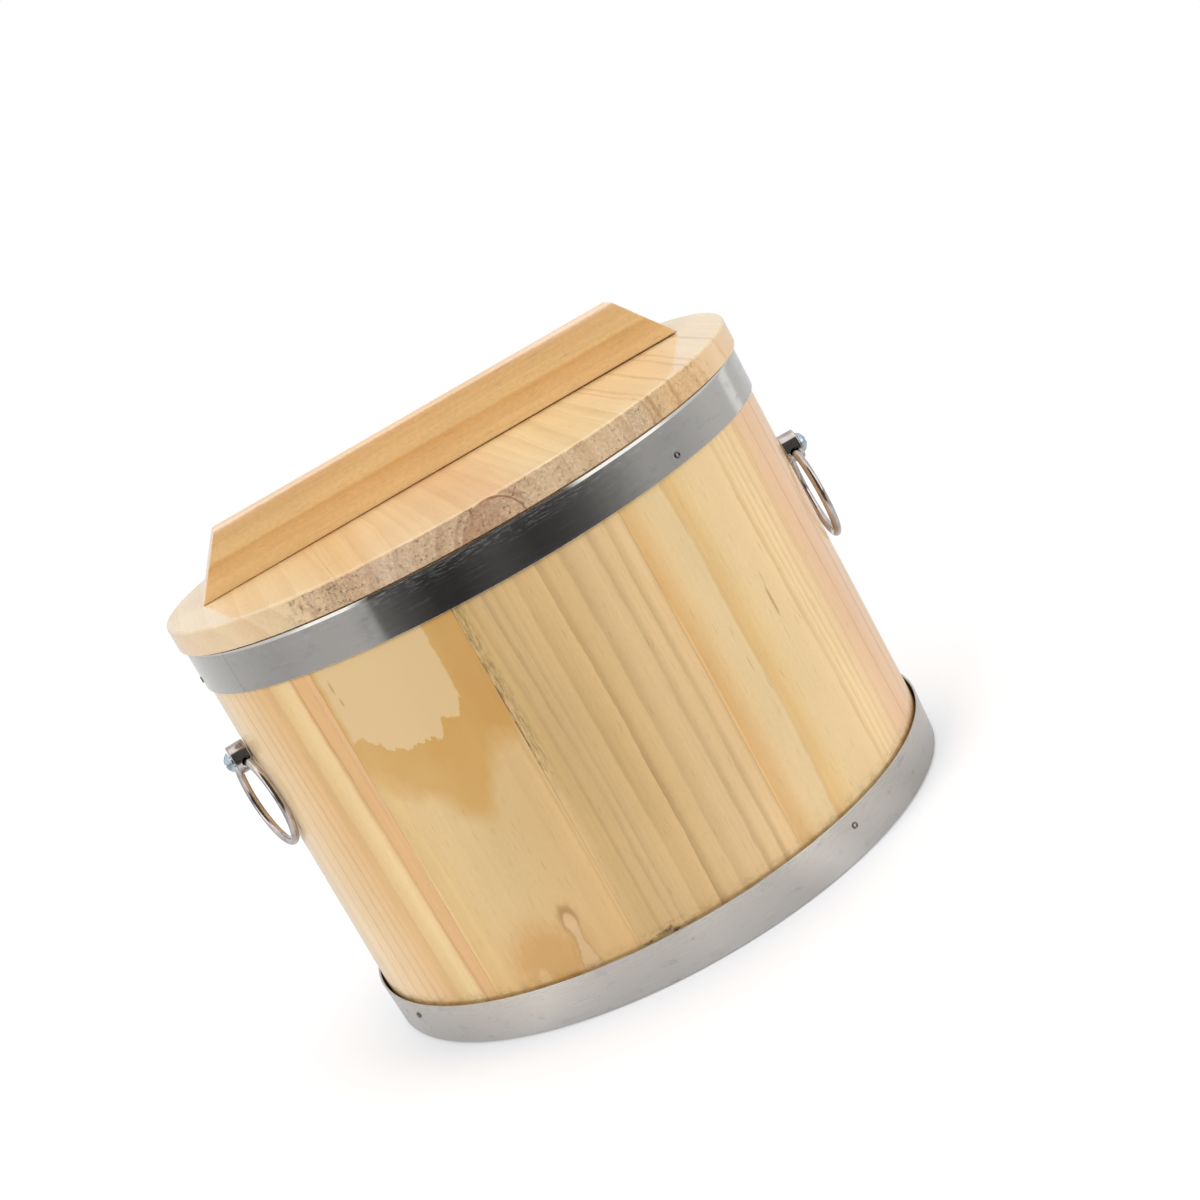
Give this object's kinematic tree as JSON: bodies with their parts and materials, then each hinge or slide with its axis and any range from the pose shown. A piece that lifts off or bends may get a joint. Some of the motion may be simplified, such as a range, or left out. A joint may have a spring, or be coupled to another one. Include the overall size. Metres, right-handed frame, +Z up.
{
  "type": "wooden rice tub with lid",
  "caption": "Round coopered wooden rice tub with steel hoops, hanging ring pulls and a lift-off lid with a batten handle.",
  "frame": {"origin": "centre of the tub's round base, on the surface that it stands on", "axes": "+Z up the tub's axis; +X along the lid's batten handle, towards the right-hand ring pull; -Y faces the viewer"},
  "size_m": [0.1904, 0.18, 0.1516],
  "materials": {
    "pale_pine": "satin lacquered pale softwood",
    "pink_pine": "satin lacquered pinkish softwood",
    "amber_pine": "satin lacquered amber softwood",
    "lid_pine": "semi-gloss lacquered softwood",
    "handle_wood": "sanded, thin satin coat",
    "pin_wood": "bare split bamboo",
    "hoop_steel": "rolled stainless strip, bright",
    "nail_steel": "plain drawn steel",
    "pull_nickel": "nickel plated, polished",
    "screw_zinc": "bright zinc plated"
  },
  "bodies": {
    "tub": {"stave_01": "pink_pine", "stave_02": "amber_pine", "stave_03": "pale_pine", "stave_04": "pale_pine", "stave_05": "pink_pine", "stave_06": "pale_pine", "stave_07": "amber_pine", "stave_08": "pale_pine", "stave_09": "amber_pine", "stave_10": "pale_pine", "stave_pin_01": "pin_wood", "stave_pin_02": "pin_wood", "stave_pin_03": "pin_wood", "stave_pin_04": "pin_wood", "stave_pin_05": "pin_wood", "stave_pin_06": "pin_wood", "stave_pin_07": "pin_wood", "stave_pin_08": "pin_wood", "stave_pin_09": "pin_wood", "stave_pin_10": "pin_wood", "bottom_board_1": "pale_pine", "bottom_board_2": "pale_pine", "bottom_board_3": "pale_pine", "hoop_top": "hoop_steel", "hoop_bottom": "hoop_steel", "hoop_nail_top_1": "nail_steel", "hoop_nail_top_2": "nail_steel", "hoop_nail_top_3": "nail_steel", "hoop_nail_bottom_1": "nail_steel", "hoop_nail_bottom_2": "nail_steel", "hoop_nail_bottom_3": "nail_steel", "pull_post_left": "pull_nickel", "pull_post_right": "pull_nickel", "pull_screw_left": "screw_zinc", "pull_screw_right": "screw_zinc"},
    "lid": {"lid_board_left": "lid_pine", "lid_board_middle": "lid_pine", "lid_board_right": "lid_pine", "lid_handle": "handle_wood", "handle_screw_1": "screw_zinc", "handle_screw_2": "screw_zinc", "handle_screw_3": "screw_zinc"},
    "ring_left": {"pull_ring_left": "pull_nickel"},
    "ring_right": {"pull_ring_right": "pull_nickel"}
  },
  "joints": [
    {"name": "lid_lift", "type": "slide", "parent": "tub", "child": "lid", "axis": [0, 0, 1], "range_m": [0, 0.15]},
    {"name": "ring_left_swing", "type": "hinge", "parent": "tub", "child": "ring_left", "pos_m": [-0.09021, -0.00948, 0.0916], "axis": [-0.2756, 0.9613, 0], "range_deg": [0, 170]},
    {"name": "ring_right_swing", "type": "hinge", "parent": "tub", "child": "ring_right", "pos_m": [0.0902, -0.00948, 0.0884], "axis": [-0.1045, -0.9945, 0], "range_deg": [-3, 170]}
  ]
}
